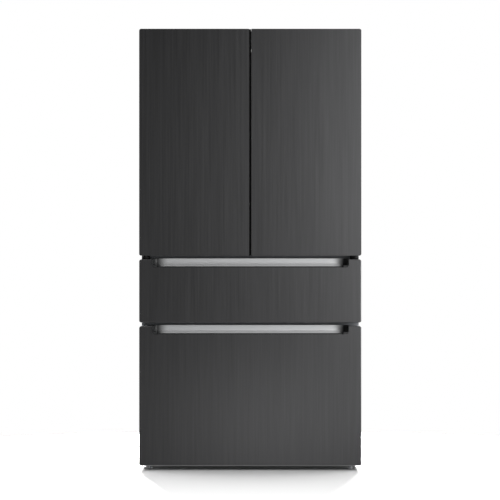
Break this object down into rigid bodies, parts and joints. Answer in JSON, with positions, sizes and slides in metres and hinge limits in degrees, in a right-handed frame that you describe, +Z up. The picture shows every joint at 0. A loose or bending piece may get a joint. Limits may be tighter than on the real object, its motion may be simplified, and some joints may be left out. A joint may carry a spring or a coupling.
{
  "type": "french door refrigerator",
  "caption": "Free-standing refrigerator with side-hinged upper doors over a middle drawer and a deep freezer drawer, pulled by recessed top grips.",
  "frame": {"origin": "on the floor under the middle of the box", "axes": "+Z up, +Y from the fronts to the back, +X to the right seen from the front"},
  "size_m": [0.896, 0.74, 1.782],
  "materials": {
    "steel_fronts": "dark stainless steel, vertical brushing",
    "satin_grips": "satin anodised",
    "cabinet_paint": "grey textured powder coat",
    "zinc_steel": "galvanised sheet",
    "liner_plastic": "thermoformed white, soft sheen",
    "clear_plastic": "clear moulded",
    "shelf_glass": "toughened, polished edge",
    "seal_rubber": "matt extruded",
    "grey_plastic": "moulded",
    "black_plastic": "moulded, fine grain",
    "black_enamel": "black enamel",
    "wall_foam": "rigid polyurethane foam"
  },
  "bodies": {
    "cabinet": {"cabinet_wrapper": "cabinet_paint", "upper_crossrail": "cabinet_paint", "lower_crossrail": "cabinet_paint", "back_panel": "zinc_steel", "base_frame": "zinc_steel", "machine_cover": "zinc_steel", "top_hinge_left": "zinc_steel", "top_hinge_right": "zinc_steel", "middle_rail_left": "zinc_steel", "middle_rail_right": "zinc_steel", "freezer_rail_left": "zinc_steel", "freezer_rail_right": "zinc_steel", "fridge_liner": "liner_plastic", "middle_liner": "liner_plastic", "freezer_liner": "liner_plastic", "evaporator_cover": "liner_plastic", "glass_shelf_upper": "shelf_glass", "glass_shelf_lower": "shelf_glass", "crisper_cover": "shelf_glass", "hinge_cover_left": "black_plastic", "hinge_cover_right": "black_plastic", "power_inlet": "black_plastic", "compressor": "black_enamel", "condenser_coil": "black_enamel", "middle_hinge_left": "black_enamel", "middle_hinge_right": "black_enamel", "insulation_foam": "wall_foam"},
    "left_door": {"left_door_skin": "steel_fronts", "left_door_inner": "liner_plastic", "left_door_gasket": "seal_rubber", "left_door_bin_lower": "clear_plastic", "left_door_bin_upper": "clear_plastic"},
    "right_door": {"right_door_skin": "steel_fronts", "right_door_inner": "liner_plastic", "right_door_gasket": "seal_rubber", "right_door_bin_lower": "clear_plastic", "right_door_bin_upper": "clear_plastic"},
    "mullion_flap": {"mullion_flap": "grey_plastic"},
    "middle_drawer": {"middle_front_skin": "steel_fronts", "middle_inner_panel": "liner_plastic", "middle_grip": "satin_grips", "middle_gasket": "seal_rubber", "middle_box": "clear_plastic"},
    "freezer_drawer": {"freezer_front_skin": "steel_fronts", "freezer_inner_panel": "liner_plastic", "freezer_grip": "satin_grips", "freezer_gasket": "seal_rubber", "freezer_frame": "zinc_steel", "freezer_basket": "clear_plastic"},
    "freezer_tray": {"freezer_tray": "clear_plastic"},
    "freezer_slide_left": {"freezer_slide_left": "zinc_steel"},
    "freezer_slide_right": {"freezer_slide_right": "zinc_steel"},
    "crisper_left": {"crisper_left": "clear_plastic"},
    "crisper_right": {"crisper_right": "clear_plastic"},
    "evaporator_fan": {"evaporator_fan": "black_plastic"},
    "condenser_fan": {"condenser_fan": "black_plastic"},
    "levelling_leg_left": {"levelling_leg_left": "grey_plastic"},
    "levelling_leg_right": {"levelling_leg_right": "grey_plastic"},
    "rear_roller_left": {"rear_roller_left": "grey_plastic"},
    "rear_roller_right": {"rear_roller_right": "grey_plastic"}
  },
  "joints": [
    {"name": "left_door_swing", "type": "hinge", "parent": "cabinet", "child": "left_door", "pos_m": [-0.426, -0.31, 0.867], "axis": [0, 0, -1], "range_deg": [0, 120]},
    {"name": "right_door_swing", "type": "hinge", "parent": "cabinet", "child": "right_door", "pos_m": [0.426, -0.31, 0.867], "axis": [0, 0, 1], "range_deg": [0, 120]},
    {"name": "mullion_fold", "type": "hinge", "parent": "left_door", "child": "mullion_flap", "pos_m": [-0.028, -0.26, 0.9053], "axis": [0, 0, -1], "range_deg": [0, 90]},
    {"name": "middle_drawer_slide", "type": "slide", "parent": "cabinet", "child": "middle_drawer", "axis": [0, -1, 0], "range_m": [0, 0.36]},
    {"name": "freezer_drawer_slide", "type": "slide", "parent": "cabinet", "child": "freezer_drawer", "axis": [0, -1, 0], "range_m": [0, 0.38]},
    {"name": "freezer_slide_left_travel", "type": "slide", "parent": "cabinet", "child": "freezer_slide_left", "axis": [0, -1, 0], "range_m": [0, 0.19]},
    {"name": "freezer_slide_right_travel", "type": "slide", "parent": "cabinet", "child": "freezer_slide_right", "axis": [0, -1, 0], "range_m": [0, 0.19]},
    {"name": "freezer_tray_slide", "type": "slide", "parent": "freezer_drawer", "child": "freezer_tray", "axis": [0, 1, 0], "range_m": [0, 0.12]},
    {"name": "crisper_left_slide", "type": "slide", "parent": "cabinet", "child": "crisper_left", "axis": [0, -1, 0], "range_m": [0, 0.075]},
    {"name": "crisper_right_slide", "type": "slide", "parent": "cabinet", "child": "crisper_right", "axis": [0, -1, 0], "range_m": [0, 0.075]},
    {"name": "evaporator_fan_spin", "type": "hinge", "parent": "cabinet", "child": "evaporator_fan", "pos_m": [0, 0.236, 0.44], "axis": [0, 1, 0], "continuous": true},
    {"name": "condenser_fan_spin", "type": "hinge", "parent": "cabinet", "child": "condenser_fan", "pos_m": [-0.02, 0.236, 0.118], "axis": [1, 0, 0], "continuous": true},
    {"name": "rear_roller_left_spin", "type": "hinge", "parent": "cabinet", "child": "rear_roller_left", "pos_m": [-0.4, 0.3, 0.018], "axis": [1, 0, 0], "continuous": true},
    {"name": "rear_roller_right_spin", "type": "hinge", "parent": "cabinet", "child": "rear_roller_right", "pos_m": [0.4, 0.3, 0.018], "axis": [1, 0, 0], "continuous": true},
    {"name": "levelling_leg_left_screw", "type": "slide", "parent": "cabinet", "child": "levelling_leg_left", "axis": [0, 0, -1], "range_m": [0, 0.012]},
    {"name": "levelling_leg_right_screw", "type": "slide", "parent": "cabinet", "child": "levelling_leg_right", "axis": [0, 0, -1], "range_m": [0, 0.012]}
  ],
  "couplings": [
    {"joint": "freezer_slide_left_travel", "follows": "freezer_drawer_slide", "ratio": 0.5},
    {"joint": "freezer_slide_right_travel", "follows": "freezer_drawer_slide", "ratio": 0.5}
  ]
}
